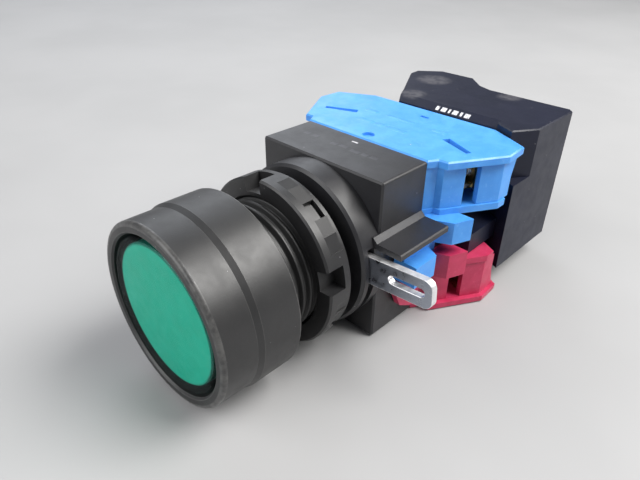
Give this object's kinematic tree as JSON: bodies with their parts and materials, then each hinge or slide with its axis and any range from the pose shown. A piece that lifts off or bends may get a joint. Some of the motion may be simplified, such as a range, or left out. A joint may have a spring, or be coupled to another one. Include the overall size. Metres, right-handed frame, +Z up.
{
  "type": "illuminated push button",
  "caption": "Panel-mounted illuminated push button with threaded barrel, ring nut, locking adaptor, latched contact blocks and a rear lamp transformer.",
  "frame": {"origin": "centre of the barrel at the bezel's rear face, which seats on the panel", "axes": "+Y along the barrel from the operator into the panel, so the button faces -Y and is pressed towards +Y; +Z up, towards the normally-open block; +X right, seen from the front, towards the locking lever"},
  "size_m": [0.0467, 0.0842, 0.0306],
  "materials": {
    "black_bezel": "fine matte moulded grain",
    "black_nut": "matte moulded, slightly worn edges",
    "black_adaptor": "matte moulded grain",
    "black_case": "satin moulded",
    "black_inner": "smooth moulded",
    "rubber": "matte nitrile rubber",
    "clear_lens": "clear polished acrylic",
    "green_filter": "translucent green",
    "white_diffuser": "translucent white",
    "blue_block": "satin translucent blue",
    "red_block": "satin translucent red",
    "white_nylon": "natural nylon",
    "zinc_steel": "bright zinc plate",
    "spring_steel": "spring wire",
    "nickel": "nickel plate",
    "brass": "stamped brass",
    "contact_silver": "silver faced copper alloy",
    "core_steel": "stacked laminations",
    "copper_winding": "enamelled copper wire",
    "lamp_glass": "frosted lamp globe"
  },
  "bodies": {
    "frame": {"bezel": "black_bezel", "panel_gasket": "rubber", "adaptor_housing": "black_adaptor", "transformer_base": "black_case", "transformer_case": "black_case", "transformer_core": "core_steel", "transformer_coil": "copper_winding", "coil_bobbin": "white_nylon", "lamp_socket": "nickel", "lamp_base": "nickel", "lamp_globe": "lamp_glass", "supply_screws": "zinc_steel", "supply_terminals": "brass", "return_spring": "spring_steel", "no_housing": "blue_block", "no_cover": "blue_block", "no_return_spring": "spring_steel", "no_fixed_contacts": "brass", "no_terminal_screws": "zinc_steel", "no_clamp_washers": "zinc_steel", "nc_housing": "red_block", "nc_cover": "red_block", "nc_return_spring": "spring_steel", "nc_fixed_contacts": "brass", "nc_terminal_screws": "zinc_steel", "nc_clamp_washers": "zinc_steel"},
    "button": {"lens_cap": "clear_lens", "colour_filter": "green_filter", "diffuser_plate": "white_diffuser", "button_plunger": "black_inner", "plunger_seal": "rubber"},
    "ring_nut": {"ring_nut": "black_nut"},
    "locking_lever": {"locking_lever": "zinc_steel"},
    "no_plunger": {"no_plunger": "white_nylon", "no_contact_spring": "spring_steel"},
    "no_bridge": {"no_bridge": "contact_silver"},
    "nc_plunger": {"nc_plunger": "white_nylon", "nc_contact_spring": "spring_steel"},
    "nc_bridge": {"nc_bridge": "contact_silver"}
  },
  "joints": [
    {"name": "button_press", "type": "slide", "parent": "frame", "child": "button", "axis": [0, 1, 0], "range_m": [0, 0.0045], "stiffness_N_per_m": 900, "springref_m": -0.004, "deforming": ["return_spring"]},
    {"name": "ring_nut_turn", "type": "hinge", "parent": "frame", "child": "ring_nut", "pos_m": [0, 0.0083, 0], "axis": [0, 1, 0], "continuous": true},
    {"name": "lever_swing", "type": "hinge", "parent": "frame", "child": "locking_lever", "pos_m": [0, 0.0156, 0], "axis": [0, 1, 0], "range_deg": [0, 50]},
    {"name": "no_plunger_slide", "type": "slide", "parent": "frame", "child": "no_plunger", "axis": [0, 1, 0], "range_m": [0, 0.0045], "deforming": ["no_return_spring"]},
    {"name": "no_bridge_slide", "type": "slide", "parent": "frame", "child": "no_bridge", "axis": [0, 1, 0], "range_m": [0, 0.00315], "deforming": ["no_contact_spring"]},
    {"name": "nc_plunger_slide", "type": "slide", "parent": "frame", "child": "nc_plunger", "axis": [0, 1, 0], "range_m": [0, 0.0045], "deforming": ["nc_return_spring"]},
    {"name": "nc_bridge_slide", "type": "slide", "parent": "frame", "child": "nc_bridge", "axis": [0, 1, 0], "range_m": [0, 0.0045]}
  ],
  "couplings": [
    {"joint": "no_plunger_slide", "follows": "button_press", "ratio": 1},
    {"joint": "no_bridge_slide", "follows": "button_press", "ratio": 0.7},
    {"joint": "nc_plunger_slide", "follows": "button_press", "ratio": 1},
    {"joint": "nc_bridge_slide", "follows": "button_press", "ratio": 1}
  ]
}
